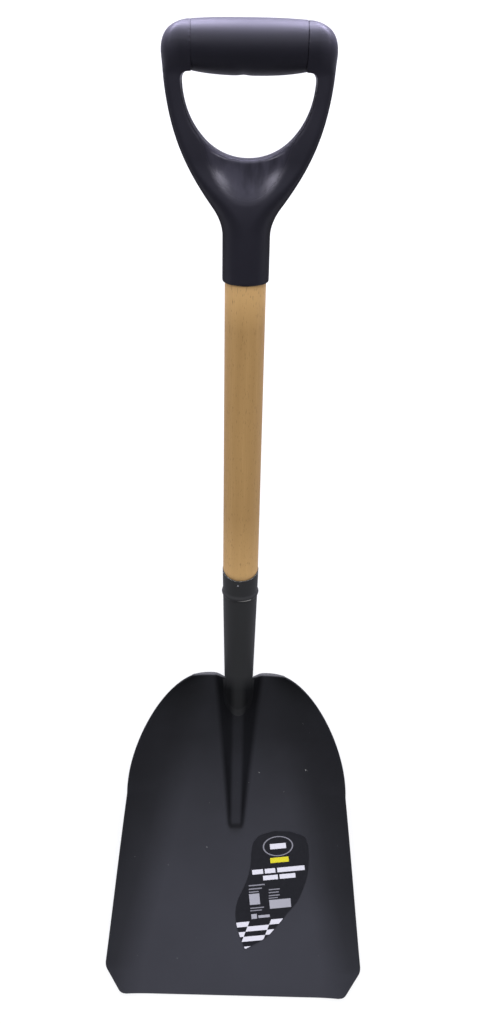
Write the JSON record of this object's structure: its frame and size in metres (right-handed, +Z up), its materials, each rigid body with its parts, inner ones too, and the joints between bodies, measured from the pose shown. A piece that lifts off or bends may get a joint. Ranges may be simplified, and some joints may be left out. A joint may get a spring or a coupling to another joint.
{
  "type": "coal shovel",
  "caption": "Short coal shovel: wide dished steel blade with a centre rib and turned treads, tapered steel socket, round wood shaft and black plastic D-grip.",
  "frame": {"origin": "on the blade's flat back, midway across it and 91.5 mm from its tip edge, where the blade rests on the ground", "axes": "+Z up out of the blade's hollow side, +Y from the blade's tip towards the grip, +X across the blade to the user's right as they look at the hollow side with the grip up"},
  "size_m": [0.2858, 0.9191, 0.3303],
  "materials": {
    "blade_paint": "satin black powder paint",
    "socket_paint": "semi-gloss black paint",
    "bright_steel": "bare bright steel",
    "light_wood": "smooth bare light wood, thin clear coat",
    "grip_plastic": "moulded, satin with glossy thumb hollows",
    "sleeve_plastic": "moulded, satin",
    "label_vinyl": "printed vinyl, black ground"
  },
  "bodies": {
    "root": {"blade": "blade_paint", "socket": "socket_paint", "weld_left": "socket_paint", "weld_right": "socket_paint", "socket_rivet": "bright_steel", "handle_shaft": "light_wood", "grip_yoke": "grip_plastic", "grip_sleeve": "sleeve_plastic", "grip_pin": "bright_steel", "blade_label": "label_vinyl"}
  },
  "joints": []
}
